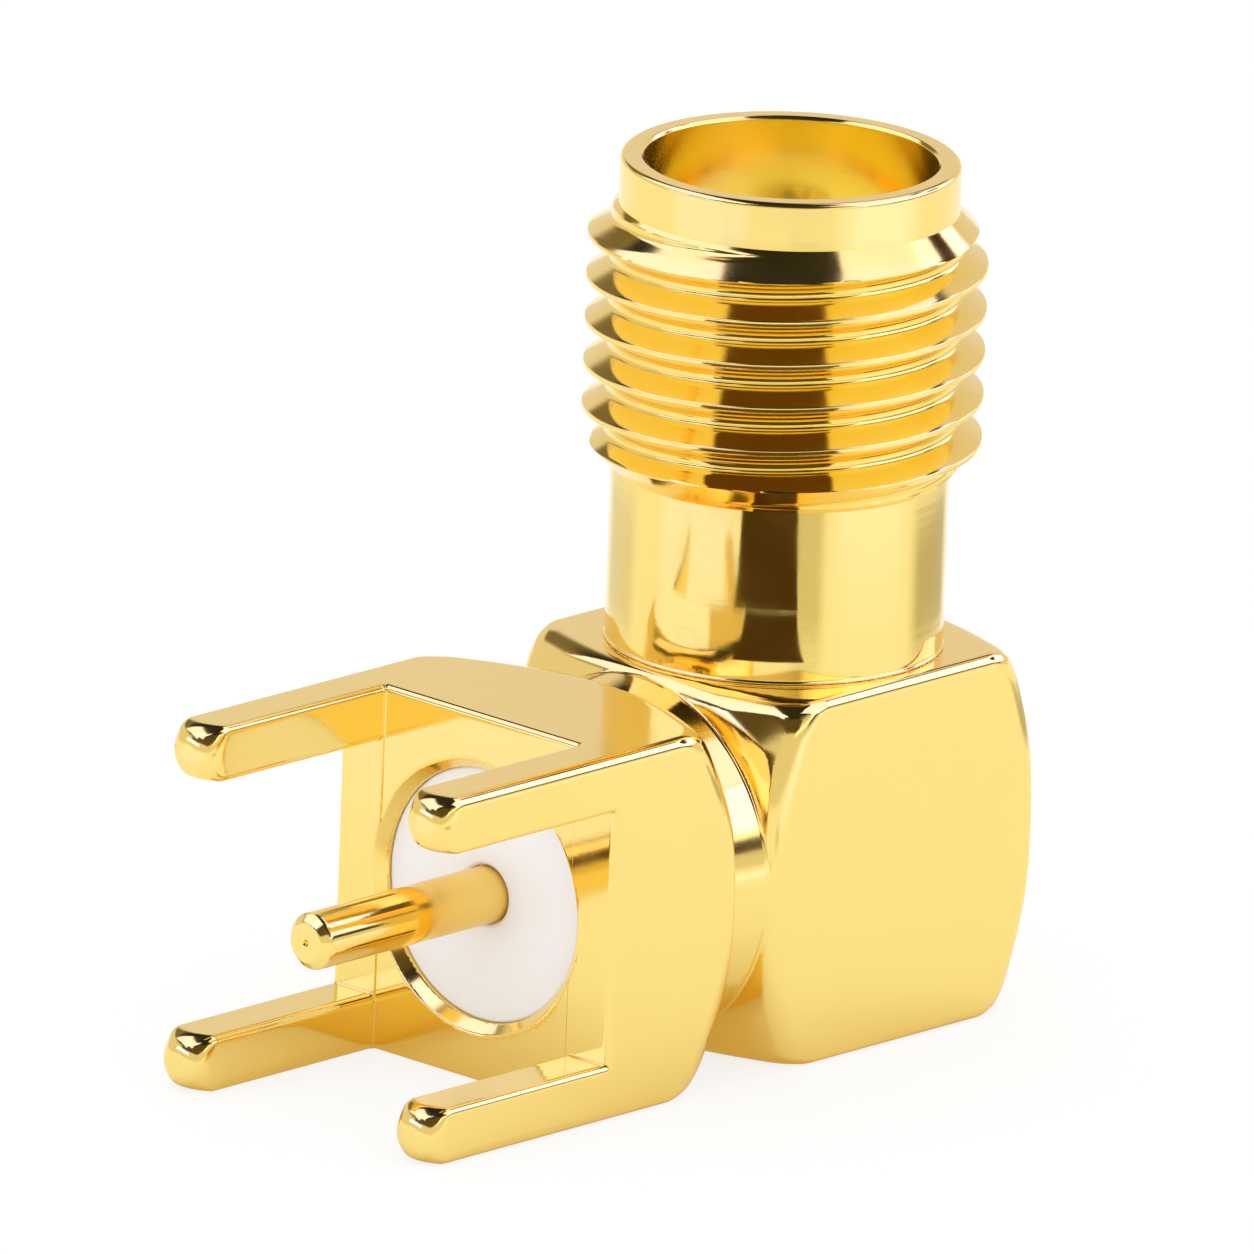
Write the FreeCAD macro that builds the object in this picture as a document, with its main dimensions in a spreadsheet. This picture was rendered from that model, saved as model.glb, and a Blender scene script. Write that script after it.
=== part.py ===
import FreeCAD, Part
import os
import re

import Sketcher

# Right-angle SMA jack for a printed circuit board, in millimetres.
# The origin is on the tail pin's axis, in the plane where the legs meet the foot. The legs
# point to -Y, the barrel points to +Z, and the jack lies on the lower flat of its square bar.

doc = FreeCAD.newDocument("RightAngleJack")

# Driving dimensions
SIZES = [
    ("leg_grid", 5.08, "spacing of the four legs, both ways"),
    ("leg_side", 0.92, "side of a square leg"),
    ("leg_length", 4.0, "legs beyond the foot"),
    ("leg_bevel", 0.27, "bevel round each leg's end"),
    ("edge_round", 0.13, "radius on the long edges of bar and legs"),
    ("slot_step", 0.025, "extra depth of the second milled slot"),
    ("foot_thickness", 3.02, "foot from leg roots to the turned ring"),
    ("foot_cone_angle", 39, "slope of the foot's turned rear, in degrees"),
    ("ring_length", 0.58, "turned ring between foot and elbow block"),
    ("ring_diameter", 5.72, "turned ring"),
    ("block_length", 6.24, "elbow block along the bar"),
    ("block_cone_angle", 30, "slope of the block's turned ends, in degrees"),
    ("cone_diameter", 5.9, "where the turned slopes start"),
    ("barrel_top", 10.89, "mouth rim above the tail pin's axis"),
    ("barrel_seat", 1.2, "depth that the barrel is pressed into the block"),
    ("neck_diameter", 5.36, "plain neck of the barrel"),
    ("neck_length", 2.825, "plain neck above the block"),
    ("base_ring", 0.1, "small ring round the neck at the block"),
    ("thread_diameter", 6.35, "coupling thread over its crests"),
    ("thread_pitch", 0.7056, "coupling thread, 36 turns to the inch"),
    ("thread_depth", 0.41, "coupling thread, crest to root"),
    ("thread_crest", 0.07, "flat on the crest"),
    ("thread_flank", 30, "half of the thread's angle, in degrees"),
    ("pilot_diameter", 5.4, "plain pilot at the mouth"),
    ("pilot_length", 0.66, "plain pilot above the thread"),
    ("rim_round", 0.09, "radius on the pilot's outer rim"),
    ("mouth_diameter", 4.66, "bore that takes the plug"),
    ("mouth_lead", 0.05, "bevel inside the rim"),
    ("mouth_depth", 1.93, "rim to the face of the insulator"),
    ("dielectric_diameter", 4.1, "insulator inside the barrel"),
    ("shoulder_diameter", 2.8, "cavity under the barrel's insulator"),
    ("contact_diameter", 1.27, "socket contact"),
    ("contact_bore", 0.94, "hole for the plug's pin"),
    ("contact_bore_depth", 2.7, "hole for the plug's pin"),
    ("contact_recess", 0.1, "socket below the insulator's face"),
    ("contact_slot", 0.18, "width of the socket's slots"),
    ("contact_slot_length", 2.2, "length of the socket's slots"),
    ("contact_lead", 0.09, "bevel at the socket's entry"),
    ("contact_point", 31, "slope of the drilled hole's end, in degrees"),
    ("contact_tail", 0.6, "diameter of the socket's tail"),
    ("contact_seat", 0.5, "insulator below the socket's shoulder"),
    ("tail_overrun", 0.15, "socket's tail beyond the pin's head"),
    ("bush_diameter", 4.12, "insulator in the foot"),
    ("bush_wall", 0.25, "wall between the foot's insulator and the barrel's seat"),
    ("bush_recess", 0.25, "insulator's face below the foot"),
    ("bush_mouth_diameter", 4.5, "bevelled mouth of the foot's bore"),
    ("cavity_diameter", 3.0, "cavity behind the foot's insulator"),
    ("cavity_margin", 0.15, "cavity beyond the vertical bore"),
    ("pin_diameter", 0.92, "solder pin"),
    ("pin_length", 3.83, "solder pin beyond the foot"),
    ("pin_bevel", 0.14, "bevel at the pin's tip"),
    ("pin_dimple", 0.1, "centre mark in the pin's tip, diameter"),
    ("shank_diameter", 1.27, "solder pin inside the foot's insulator"),
    ("shank_recess", 0.12, "shank's shoulder below the insulator's face"),
    ("pin_head_diameter", 1.6, "head of the solder pin"),
    ("pin_head_end", 0.8, "head beyond the barrel's axis"),
]

sheet = doc.addObject("Spreadsheet::Sheet", "Sizes")
for row, (alias, value, meaning) in enumerate(SIZES, start=1):
    sheet.set(f"A{row}", alias)
    sheet.set(f"B{row}", str(value))
    sheet.set(f"C{row}", meaning)
    sheet.setAlias(f"B{row}", alias)

# Sizes that follow from the driving ones
DERIVED = [
    ("bar_side", "=leg_grid + leg_side"),
    ("slot_width", "=leg_grid - leg_side"),
    ("block_front", "=foot_thickness + ring_length"),
    ("block_back", "=block_front + block_length"),
    ("barrel_axis", "=block_front + block_length / 2"),
    ("corner_radius", "=bar_side * 0.75"),
    ("block_top", "=bar_side / 2"),
    ("barrel_foot", "=block_top - barrel_seat"),
    ("thread_start", "=block_top + neck_length"),
    ("thread_end", "=barrel_top - pilot_length"),
    ("insulator_face", "=barrel_top - mouth_depth"),
    ("contact_face", "=insulator_face - contact_recess"),
    ("contact_foot", "=barrel_foot + contact_seat"),
    ("bush_back", "=barrel_axis - neck_diameter / 2 - bush_wall"),
    ("cavity_back", "=barrel_axis + shoulder_diameter / 2 + cavity_margin"),
    ("cutter_reach", "=thread_crest / 4 / tan(thread_flank)"),
    ("cutter_mouth", "=thread_pitch / 2 - thread_crest / 4"),
    ("cutter_floor", "=cutter_mouth - (thread_depth + cutter_reach) * tan(thread_flank)"),
    ("cutter_start", "=thread_start - thread_pitch / 2"),
]
for row, (alias, formula) in enumerate(DERIVED, start=len(SIZES) + 2):
    sheet.set(f"A{row}", alias)
    sheet.setAlias(f"B{row}", alias)
    sheet.set(f"B{row}", formula)
doc.recompute()


def linked(formula):
    """Point each size named in a formula at the sheet."""
    return re.sub(r"[a-z]+(_[a-z]+)+", r"Sizes.\g<0>", formula)


def value(formula):
    """Work out a formula in the sheet's sizes as a plain number."""
    result = sheet.evalExpression(formula)
    return float(getattr(result, "Value", result))


def new_body(name):
    """Start one solid piece."""
    body = doc.addObject("PartDesign::Body", name)
    body.Label = name
    return body


def origin_item(body, role):
    """Return one of the body's own origin planes or axes."""
    return next(item for item in body.Origin.OriginFeatures if item.Role == role)


def new_sketch(body, name, role, **shift):
    """Put a sketch on an origin plane; shift gives formulas for its x, y or z offset."""
    sketch = body.newObject("Sketcher::SketchObject", name)
    sketch.AttachmentSupport = (origin_item(body, role), [""])
    sketch.MapMode = "FlatFace"
    for direction, formula in shift.items():
        sketch.setExpression(f".AttachmentOffset.Base.{direction}", linked(formula))
    return sketch


def outline(sketch, corners):
    """Draw a closed outline; each corner is a pair of formulas in the sheet's sizes."""
    places = [(value(across), value(up)) for across, up in corners]
    first = sketch.GeometryCount
    for start, end in zip(places, places[1:] + places[:1]):
        line = Part.LineSegment(FreeCAD.Vector(*start, 0), FreeCAD.Vector(*end, 0))
        sketch.addGeometry(line, False)
    for index, corner in enumerate(corners):
        edge = first + index
        following = first + (index + 1) % len(corners)
        sketch.addConstraint(Sketcher.Constraint("Coincident", edge, 2, following, 1))
        for kind, formula, place in zip(("DistanceX", "DistanceY"), corner, places[index]):
            number = sketch.addConstraint(Sketcher.Constraint(kind, -1, 1, edge, 1, place))
            sketch.setExpression(f"Constraints[{number}]", linked(formula))


def rectangle(sketch, left, bottom, right, top):
    """Draw a rectangle between four formulas."""
    outline(sketch, [(left, bottom), (right, bottom), (right, top), (left, top)])


def circle(sketch, diameter, height):
    """Draw a circle on the sketch's upright axis, at a formula's height."""
    centre = FreeCAD.Vector(0, value(height), 0)
    shape = Part.Circle(centre, FreeCAD.Vector(0, 0, 1), value(diameter) / 2)
    number = sketch.addGeometry(shape, False)
    sketch.addConstraint(Sketcher.Constraint("PointOnObject", number, 3, -2))
    place = Sketcher.Constraint("DistanceY", -1, 1, number, 3, value(height))
    sketch.setExpression(f"Constraints[{sketch.addConstraint(place)}]", linked(height))
    size = Sketcher.Constraint("Diameter", number, value(diameter))
    sketch.setExpression(f"Constraints[{sketch.addConstraint(size)}]", linked(diameter))


def turn(body, kind, sketch, axis):
    """Revolve a sketch round its own axis, to add (Revolution) or to cut (Groove)."""
    feature = body.newObject(f"PartDesign::{kind}", sketch.Name + kind)
    feature.Profile = sketch
    feature.ReferenceAxis = (sketch, [axis])
    feature.Angle = 360
    doc.recompute()
    return feature


def cut_through(body, sketch, depth):
    """Pocket a sketch to both sides of its plane, by a formula for the whole depth."""
    pocket = body.newObject("PartDesign::Pocket", sketch.Name + "Pocket")
    pocket.Profile = sketch
    pocket.SideType = "Symmetric"
    pocket.setExpression("Length", linked(depth))
    doc.recompute()
    return pocket


def edges_where(feature, wanted):
    """Name the edges of a feature that pass a test."""
    edges = enumerate(feature.Shape.Edges, start=1)
    return [f"Edge{number}" for number, edge in edges if wanted(edge)]


def dress(body, kind, name, base, edges, size, formula):
    """Fillet or chamfer some edges by a size of the sheet."""
    feature = body.newObject(f"PartDesign::{kind}", name)
    feature.Base = (base, edges)
    feature.setExpression(size, linked(formula))
    doc.recompute()
    return feature


# Elbow body: one square bar, turned between foot and block, milled into four legs
elbow = new_body("elbow_body")

bar_section = new_sketch(elbow, "BarSection", "XZ_Plane")
rectangle(bar_section, "-bar_side / 2", "-bar_side / 2", "bar_side / 2", "bar_side / 2")
bar = elbow.newObject("PartDesign::Pad", "Bar")
bar.Profile = bar_section
bar.SideType = "Two sides"
bar.setExpression("Length", linked("leg_length"))
bar.setExpression("Length2", linked("block_back"))
doc.recompute()

# The two milled slots cross between the legs; the upright one is a little deeper
across_slot = new_sketch(elbow, "AcrossSlot", "YZ_Plane")
rectangle(across_slot, "-2 * leg_length", "-slot_width / 2", "0", "slot_width / 2")
cut_through(elbow, across_slot, "2 * bar_side")
upright_slot = new_sketch(elbow, "UprightSlot", "XY_Plane")
rectangle(upright_slot, "-slot_width / 2", "-2 * leg_length", "slot_width / 2", "slot_step")
slots = cut_through(elbow, upright_slot, "2 * bar_side")


def on_leg_tip(edge):
    """Tell whether an edge bounds a leg's end face."""
    tip = -value("leg_length")
    return all(abs(vertex.Y - tip) < 1e-6 for vertex in edge.Vertexes)


def is_long_corner(edge):
    """Tell whether an edge is a long corner of a leg or of the bar."""
    first, last = edge.Vertexes[0].Point, edge.Vertexes[-1].Point
    return abs(last.y - first.y) > 1e-6 and abs(last.x - first.x) + abs(last.z - first.z) < 1e-6


bevels = dress(elbow, "Chamfer", "LegBevels", slots, edges_where(slots, on_leg_tip),
               "Size", "leg_bevel")
rounds = dress(elbow, "Fillet", "LongRounds", bevels, edges_where(bevels, is_long_corner),
               "Radius", "edge_round")

# Turned ends of the block, and the ring between block and foot
back_slope = new_sketch(elbow, "BackSlope", "YZ_Plane")
outline(back_slope, [
    ("block_back", "cone_diameter / 2"),
    ("block_back", "corner_radius"),
    ("block_back - (corner_radius - cone_diameter / 2) * tan(block_cone_angle)",
     "corner_radius"),
])
turn(elbow, "Groove", back_slope, "H_Axis")
waist = new_sketch(elbow, "Waist", "YZ_Plane")
outline(waist, [
    ("block_front + (corner_radius - cone_diameter / 2) * tan(block_cone_angle)",
     "corner_radius"),
    ("block_front", "cone_diameter / 2"),
    ("block_front", "ring_diameter / 2"),
    ("foot_thickness", "ring_diameter / 2"),
    ("foot_thickness", "cone_diameter / 2"),
    ("foot_thickness - (corner_radius - cone_diameter / 2) * tan(foot_cone_angle)",
     "corner_radius"),
])
turn(elbow, "Groove", waist, "H_Axis")

# Bore along the foot for the pin's insulator, with the cavity behind it
foot_bore = new_sketch(elbow, "FootBore", "YZ_Plane")
outline(foot_bore, [
    ("-leg_length / 4", "0"),
    ("-leg_length / 4", "bush_mouth_diameter / 2"),
    ("0", "bush_mouth_diameter / 2"),
    ("(bush_mouth_diameter - bush_diameter) / 2", "bush_diameter / 2"),
    ("bush_back", "bush_diameter / 2"),
    ("bush_back", "cavity_diameter / 2"),
    ("cavity_back", "cavity_diameter / 2"),
    ("cavity_back", "0"),
])
turn(elbow, "Groove", foot_bore, "H_Axis")

# Seat for the barrel, with the narrower cavity under it, down to the pin's axis
barrel_bore = new_sketch(elbow, "BarrelBore", "YZ_Plane", x="barrel_axis")
outline(barrel_bore, [
    ("0", "0"),
    ("shoulder_diameter / 2", "0"),
    ("shoulder_diameter / 2", "barrel_foot"),
    ("neck_diameter / 2", "barrel_foot"),
    ("neck_diameter / 2", "block_top + barrel_seat"),
    ("0", "block_top + barrel_seat"),
])
turn(elbow, "Groove", barrel_bore, "V_Axis")


# Barrel: neck, coupling thread and pilot, turned round the barrel's axis
barrel = new_body("threaded_barrel")
barrel.setExpression(".Placement.Base.y", linked("barrel_axis"))

barrel_section = new_sketch(barrel, "BarrelSection", "XZ_Plane")
outline(barrel_section, [
    ("dielectric_diameter / 2", "barrel_foot"),
    ("neck_diameter / 2", "barrel_foot"),
    ("neck_diameter / 2", "block_top"),
    ("neck_diameter / 2 + base_ring", "block_top"),
    ("neck_diameter / 2", "block_top + base_ring"),
    ("neck_diameter / 2", "thread_start"),
    ("thread_diameter / 2", "thread_start + (thread_diameter - neck_diameter) / 2"),
    ("thread_diameter / 2", "thread_end - (thread_diameter - pilot_diameter) / 2"),
    ("pilot_diameter / 2", "thread_end"),
    ("pilot_diameter / 2", "barrel_top"),
    ("mouth_diameter / 2 + mouth_lead", "barrel_top"),
    ("mouth_diameter / 2", "barrel_top - mouth_lead"),
    ("mouth_diameter / 2", "insulator_face"),
    ("dielectric_diameter / 2", "insulator_face"),
])
blank = turn(barrel, "Revolution", barrel_section, "V_Axis")


def is_rim(edge):
    """Tell whether an edge is the pilot's outer rim."""
    at_top = abs(edge.Vertexes[0].Z - value("barrel_top")) < 1e-6
    return at_top and edge.Length > 0.999 * 3.14159 * value("pilot_diameter")


rim = dress(barrel, "Fillet", "Rim", blank, edges_where(blank, is_rim), "Radius", "rim_round")

# One groove of the thread, swept as a right-handed helix past both ends of the thread
thread_groove = new_sketch(barrel, "ThreadGroove", "XZ_Plane")
outline(thread_groove, [
    ("thread_diameter / 2 - thread_depth", "cutter_start - cutter_floor"),
    ("thread_diameter / 2 + cutter_reach", "cutter_start - cutter_mouth"),
    ("thread_diameter / 2 + cutter_reach", "cutter_start + cutter_mouth"),
    ("thread_diameter / 2 - thread_depth", "cutter_start + cutter_floor"),
])
thread = barrel.newObject("PartDesign::SubtractiveHelix", "Thread")
thread.Profile = thread_groove
thread.ReferenceAxis = (thread_groove, ["V_Axis"])
thread.Mode = "pitch-height-angle"
thread.setExpression("Pitch", linked("thread_pitch"))
thread.setExpression("Height", linked("thread_end - thread_start + thread_pitch"))
doc.recompute()


# Insulator inside the barrel, from the block's shoulder to the mouth's floor
sleeve = new_body("barrel_insulator")
sleeve.setExpression(".Placement.Base.y", linked("barrel_axis"))
sleeve_section = new_sketch(sleeve, "SleeveSection", "XZ_Plane")
outline(sleeve_section, [
    ("contact_tail / 2", "barrel_foot"),
    ("dielectric_diameter / 2", "barrel_foot"),
    ("dielectric_diameter / 2", "insulator_face"),
    ("contact_diameter / 2", "insulator_face"),
    ("contact_diameter / 2", "contact_foot"),
    ("contact_tail / 2", "contact_foot"),
])
turn(sleeve, "Revolution", sleeve_section, "V_Axis")


# Socket contact: drilled for the plug's pin, slotted crosswise, with a thin tail below
socket = new_body("socket_contact")
socket.setExpression(".Placement.Base.y", linked("barrel_axis"))
socket_section = new_sketch(socket, "SocketSection", "XZ_Plane")
outline(socket_section, [
    ("0", "-pin_head_diameter / 2 - tail_overrun"),
    ("contact_tail / 2", "-pin_head_diameter / 2 - tail_overrun"),
    ("contact_tail / 2", "contact_foot"),
    ("contact_diameter / 2", "contact_foot"),
    ("contact_diameter / 2", "contact_face"),
    ("contact_bore / 2 + contact_lead", "contact_face"),
    ("contact_bore / 2", "contact_face - contact_lead"),
    ("contact_bore / 2", "contact_face - contact_bore_depth"),
    ("0", "contact_face - contact_bore_depth - contact_bore / 2 * tan(contact_point)"),
])
turn(socket, "Revolution", socket_section, "V_Axis")
for plane in ("XZ_Plane", "YZ_Plane"):
    slot = new_sketch(socket, f"Slot{plane[:2]}", plane)
    rectangle(slot, "-contact_slot / 2", "contact_face - contact_slot_length",
              "contact_slot / 2", "contact_face + contact_lead")
    cut_through(socket, slot, "2 * contact_diameter")


# Insulator in the foot, a bush round the pin's shank
bush = new_body("foot_insulator")
bush_section = new_sketch(bush, "BushSection", "YZ_Plane")
outline(bush_section, [
    ("bush_recess", "shank_diameter / 2"),
    ("bush_recess", "bush_diameter / 2"),
    ("bush_back", "bush_diameter / 2"),
    ("bush_back", "shank_diameter / 2"),
])
turn(bush, "Revolution", bush_section, "H_Axis")


# Solder pin: thicker in its insulator, with a head under the barrel drilled across for the
# socket's tail
pin = new_body("tail_pin")
pin_section = new_sketch(pin, "PinSection", "YZ_Plane")
outline(pin_section, [
    ("-pin_length + pin_dimple / 2", "0"),
    ("-pin_length", "pin_dimple / 2"),
    ("-pin_length", "pin_diameter / 2 - pin_bevel"),
    ("-pin_length + pin_bevel", "pin_diameter / 2"),
    ("bush_recess + shank_recess", "pin_diameter / 2"),
    ("bush_recess + shank_recess", "shank_diameter / 2"),
    ("bush_back", "shank_diameter / 2"),
    ("bush_back", "pin_head_diameter / 2"),
    ("barrel_axis + pin_head_end", "pin_head_diameter / 2"),
    ("barrel_axis + pin_head_end", "0"),
])
turn(pin, "Revolution", pin_section, "H_Axis")
tail_hole = new_sketch(pin, "TailHole", "XY_Plane")
circle(tail_hole, "contact_tail", "barrel_axis")
cut_through(pin, tail_hole, "2 * pin_head_diameter")


# Every feature must be sound before anything is written
doc.recompute()
for item in doc.Objects:
    if "Invalid" in item.State or "Error" in item.State:
        raise RuntimeError(f"{item.Name} failed")
pieces = [elbow, barrel, sleeve, socket, bush, pin]
for piece in pieces:
    if piece.Shape.isNull() or not piece.Shape.isValid() or len(piece.Shape.Solids) != 1:
        raise RuntimeError(f"{piece.Label} is not one sound solid")

os.makedirs("parts", exist_ok=True)
for piece in pieces:
    piece.Shape.exportStep(f"parts/{piece.Label}.step")
    print(piece.Label, round(piece.Shape.Volume, 3), "mm3", len(piece.Shape.Faces), "faces")
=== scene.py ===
"""A right-angle SMA jack, gold-plated, lying on a pale floor in soft studio light."""

import itertools
import logging
import math
from collections.abc import Callable
from dataclasses import dataclass, field
from enum import Enum

import bmesh
import bpy
import numpy as np
from mathutils import Matrix, Vector


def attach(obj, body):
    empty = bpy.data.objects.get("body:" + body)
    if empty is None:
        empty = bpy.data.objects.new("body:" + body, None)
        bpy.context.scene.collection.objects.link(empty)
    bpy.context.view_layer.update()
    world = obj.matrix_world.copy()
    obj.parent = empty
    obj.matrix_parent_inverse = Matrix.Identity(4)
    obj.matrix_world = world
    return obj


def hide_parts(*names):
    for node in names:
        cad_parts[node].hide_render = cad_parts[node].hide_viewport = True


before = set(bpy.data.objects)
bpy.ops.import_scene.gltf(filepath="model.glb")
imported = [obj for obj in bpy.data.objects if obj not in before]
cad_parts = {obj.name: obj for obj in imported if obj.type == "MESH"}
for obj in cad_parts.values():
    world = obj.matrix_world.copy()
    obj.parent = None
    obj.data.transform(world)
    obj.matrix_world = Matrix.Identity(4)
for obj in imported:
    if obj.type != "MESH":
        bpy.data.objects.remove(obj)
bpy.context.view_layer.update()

MM = 0.001
TINY = 1e-6
STREAKS_ACROSS = 700.0
STREAKS_ALONG = 40.0
LOG = logging.getLogger("jack")
Point = tuple[float, float]
Colour = tuple[float, float, float]
Solid = Callable[[np.ndarray, np.ndarray, np.ndarray], np.ndarray]
Tree = bpy.types.NodeTree
Socket = bpy.types.NodeSocket
Value = Socket | float | tuple[float, ...]
WHITE: Colour = (1.0, 1.0, 1.0)
DUSKY: Colour = (1.0, 0.55, 0.15)


class Line(Enum):
    """The two axes that the jack's round pieces are turned on, through which they pass."""

    BARREL = (0.0, 6.72, 0.0)
    PIN = (0.0, 0.0, 0.0)


@dataclass(frozen=True)
class SatinAndShade:
    """Where a turned surface is duller and darkened with painted shade.

    Attributes:
        line: the axis it is turned on.
        within: it is duller closer to that axis than this, in mm.
        beyond: and further along the axis than this, in mm.
        roughness: what is added to the roughness there.
        tint: what the plating's colour is multiplied by there, as painted shade for light bounced
            in the hollow.
        fade: length over which it sets in, in mm.
        until: how far along the axis it goes, in mm.
        inward: depth over which it sets in from the outer radius, in mm.
        faint: share of the tint between the streaks.
        streaks: noise levels at which a streak begins and is full.
    """

    line: Line
    within: float
    beyond: float
    roughness: float
    tint: Colour = WHITE
    fade: float = 0.1
    until: float = 99.0
    inward: float = 0.02
    # faint: share of the painted shade between the streaks.
    faint: float = 0.4
    streaks: Point = (0.38, 0.62)

    def share(self, tree: Tree, place: Socket) -> Socket:
        """Work the added roughness out from the place on the surface.

        Args:
            tree: node tree to add to.
            place: the surface's coordinates.

        Returns:
            The added roughness.
        """
        flat = (0.0, 1.0, 0.0) if self.line is Line.PIN else (0.0, 0.0, 1.0)
        middle = tuple(part * (1.0 - off) * MM for part, off in zip(self.line.value, flat))
        across = put(tree, "VectorMath", {0: place, 1: tuple(1.0 - part for part in flat)},
                     operation="MULTIPLY").outputs["Vector"]
        reach = put(tree, "VectorMath", {0: across, 1: middle}, operation="DISTANCE")
        along = put(tree, "VectorMath", {0: place, 1: flat}, operation="DOT_PRODUCT")
        inside = ranged(tree, reach.outputs["Value"], self.within * MM,
                        (self.within - self.inward) * MM, high=self.roughness)
        begun = ranged(tree, along.outputs["Value"], self.beyond * MM,
                       (self.beyond + self.fade) * MM, high=inside)
        return ranged(tree, along.outputs["Value"], (self.until + self.fade) * MM,
                      self.until * MM, high=begun)

    def streaked_shade(self, tree: Tree, place: Socket, added: Socket, colour: Socket) -> Socket:
        """Darken the duller surface with painted shade, in streaks that run along the axis.

        Args:
            tree: node tree to add to.
            place: the surface's coordinates.
            added: the added roughness.
            colour: the plating's colour.

        Returns:
            The colour with the painted shade.
        """
        scale = [STREAKS_ACROSS] * 3
        scale[1 if self.line is Line.PIN else 2] = STREAKS_ALONG
        drawn = put(tree, "Mapping", {"Vector": place, "Scale": scale}).outputs["Vector"]
        streak = ranged(tree, noise(tree, drawn, 1.0, 1.0), *self.streaks,
                        self.faint / self.roughness, 1.0 / self.roughness)
        share = worked_out(tree, "MULTIPLY", added, streak)
        # painted shade: the plating's colour is multiplied by the tint where the hollow lies in
        # shade
        return mixed(tree, share, colour, self.tint, "MULTIPLY")


@dataclass(frozen=True)
class Gold:
    """Bright gold plating over machined brass.

    Attributes:
        name: material name.
        colour: linear reflectance of the plating.
        gloss: roughness of the brightest places.
        haze: extra roughness where the plating is duller.
        ripple: height of the tumbling marks under the plating, in mm.
        grain: height of the plating's fine grain, in mm.
        tool_marks: height of the fine turning lines, in mm.
        marks_along: object axis that the turning lines repeat along.
        zones: where the piece is duller and darkened with painted shade, if anywhere.
        warm_share: what the colour is multiplied by where the plating is warmer.
        clouds: noise levels between which the haze grows.
        cloud_scale: repeats of the haze to the metre.
        warm_scale: repeats of the warmer places to the metre.
        ripple_scale: repeats of the tumbling marks to the metre.
        grain_scale: repeats of the grain to the metre.
        line_scale: turning lines to the metre.
        line_length: repeats to the metre along a turning line.
    """

    name: str
    colour: Colour = (0.985, 0.765, 0.26)
    gloss: float = 0.07
    haze: float = 0.08
    ripple: float = 0.0008
    grain: float = 0.00012
    tool_marks: float = 0.0
    marks_along: str = "Z"
    zones: tuple[SatinAndShade, ...] = ()
    warm_share: Colour = (1.0, 0.955, 0.8)
    clouds: Point = (0.35, 0.75)
    cloud_scale: float = 900.0
    warm_scale: float = 260.0
    ripple_scale: float = 2600.0
    grain_scale: float = 14000.0
    line_scale: float = 9000.0
    line_length: float = 60.0

    def material(self) -> bpy.types.Material:
        """Build the plating's node material.

        Returns:
            The finished material.
        """
        made = bpy.data.materials.new(self.name)
        made.use_nodes = True
        tree = made.node_tree
        place = put(tree, "TexCoord").outputs["Object"]
        rough = ranged(tree, noise(tree, place, self.cloud_scale, 4.0), *self.clouds,
                       self.gloss, self.gloss + self.haze)
        warm = tuple(part * share for part, share in zip(self.colour, self.warm_share))
        colour = mixed(tree, noise(tree, place, self.warm_scale, 3.0), self.colour, warm)
        for zone in self.zones:
            added = zone.share(tree, place)
            rough = worked_out(tree, "ADD", rough, added)
            # painted shade in each zone's hollow
            colour = zone.streaked_shade(tree, place, added, colour)
        normal = bump(tree, noise(tree, place, self.ripple_scale, 3.0), self.ripple)
        normal = bump(tree, noise(tree, place, self.grain_scale, 2.0), self.grain, normal)
        if self.tool_marks:
            scale = [self.line_length] * 3
            scale["XYZ".index(self.marks_along)] = self.line_scale
            squeezed = put(tree, "Mapping", {"Vector": place, "Scale": scale}).outputs["Vector"]
            normal = bump(tree, noise(tree, squeezed, 1.0, 2.0), self.tool_marks, normal)
        feed(tree, tree.nodes["Principled BSDF"], {
            "Metallic": 1.0, "Roughness": rough, "Base Color": colour, "Normal": normal})
        return made


@dataclass(frozen=True)
class Ptfe:
    """White PTFE: soft, waxy and faintly mottled.

    Attributes:
        name: material name.
        colour: its brightest colour.
        roughness: roughness of the surface.
        softness: share of the light that enters it.
        depth: how deep that light goes, in mm.
        spread: how far each colour of it goes.
        dull: what the colour is multiplied by where it is dullest.
        mottle_scale: repeats of the mottle to the metre.
        grain: height of the grain in mm.
        grain_scale: repeats of the grain to the metre.
    """

    name: str = "ptfe"
    colour: Colour = (0.955, 0.955, 1.0)
    roughness: float = 0.42
    softness: float = 0.2
    depth: float = 0.4
    spread: Colour = (1.0, 0.9, 0.9)
    dull: float = 0.95
    mottle_scale: float = 500.0
    grain: float = 0.002
    grain_scale: float = 6000.0

    def material(self) -> bpy.types.Material:
        """Build the plastic's node material.

        Returns:
            The finished material.
        """
        made = bpy.data.materials.new(self.name)
        made.use_nodes = True
        tree = made.node_tree
        place = put(tree, "TexCoord").outputs["Object"]
        dull = tuple(self.dull * part for part in self.colour)
        mottle = mixed(tree, noise(tree, place, self.mottle_scale, 3.0), self.colour, dull)
        grain = bump(tree, noise(tree, place, self.grain_scale, 2.0), self.grain)
        feed(tree, tree.nodes["Principled BSDF"], {
            "Roughness": self.roughness, "Subsurface Weight": self.softness,
            "Subsurface Scale": self.depth * MM, "Subsurface Radius": self.spread,
            "Base Color": mottle, "Normal": grain})
        return made


def feed(tree: Tree, node: bpy.types.Node, inputs: dict[str | int, Value]) -> None:
    """Link some of a node's inputs to other sockets, or set their plain values.

    Args:
        tree: node tree of the node.
        node: the node to feed.
        inputs: the socket or plain value for each input's name or number.
    """
    for name, value in inputs.items():
        socket = node.inputs[name]
        if isinstance(value, Socket):
            tree.links.new(value, socket)
        else:
            socket.default_value = (*value, 1.0) if socket.type == "RGBA" else value


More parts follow.
